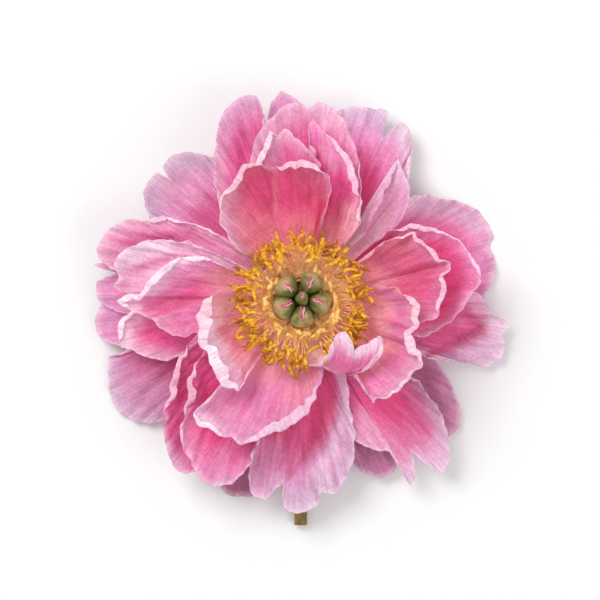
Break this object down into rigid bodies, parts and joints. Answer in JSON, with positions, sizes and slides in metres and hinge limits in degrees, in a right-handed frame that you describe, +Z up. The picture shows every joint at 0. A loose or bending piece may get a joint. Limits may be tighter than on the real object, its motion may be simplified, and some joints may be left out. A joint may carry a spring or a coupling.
{
  "type": "cut peony bloom",
  "caption": "Open pink peony bloom lying on its back, with layered waved petals, golden stamens round green carpels, sepals and a short cut stem.",
  "frame": {"origin": "middle of the box round the whole bloom, on the surface that it lies on", "axes": "+Z up, the way that the open bloom faces; +Y towards the top of the bloom as pictured, away from the cut stem; +X to its right"},
  "size_m": [0.1688, 0.1754, 0.0508],
  "materials": {
    "petal_mauve": "matte",
    "petal_lilac": "matte",
    "petal_pink": "matte",
    "petal_coral": "matte",
    "leaf": "satin",
    "stem": "satin",
    "stamen": "matte",
    "straw": "matte",
    "carpel": "satin"
  },
  "bodies": {
    "root": {"stem_and_receptacle": "stem", "sepal_1": "leaf", "sepal_2": "leaf", "sepal_3": "leaf", "sepal_4": "leaf", "sepal_5": "leaf", "back_petal_bottom_left": "petal_mauve", "back_petal_bottom_right": "petal_mauve", "back_petal_lower_right": "petal_mauve", "guard_petal_upper_left": "petal_lilac", "back_petal_top": "petal_lilac", "guard_petal_top_right": "petal_lilac", "guard_petal_lower_left": "petal_lilac", "back_petal_left_low": "petal_mauve", "back_petal_left": "petal_mauve", "back_petal_left_tip": "petal_lilac", "guard_petal_right": "petal_lilac", "guard_petal_right_low": "petal_lilac", "petal_upper_left": "petal_pink", "petal_left_upper": "petal_pink", "petal_left_low": "petal_pink", "petal_bottom_right": "petal_pink", "petal_bottom": "petal_pink", "petal_left_striped": "petal_lilac", "petal_top_wide": "petal_pink", "petal_top_right_narrow": "petal_lilac", "petal_lower_left_outer": "petal_pink", "cup_petal_left": "petal_coral", "petal_lower_left": "petal_pink", "petal_top_right": "petal_pink", "folded_petal_top": "petal_pink", "cup_petal_right_outer": "petal_coral", "petal_bottom_inner": "petal_coral", "twisted_petal_left": "petal_coral", "cup_petal_right_inner": "petal_coral", "ruffled_petal_right": "petal_coral", "cup_petal_top": "petal_coral", "petaloid": "petal_coral", "stamens": "stamen", "staminodes": "straw", "carpel_upper_left": "carpel", "carpel_upper_right": "carpel", "carpel_right": "carpel", "carpel_bottom": "carpel", "carpel_lower_left": "carpel", "carpel_middle": "carpel"}
  },
  "joints": []
}
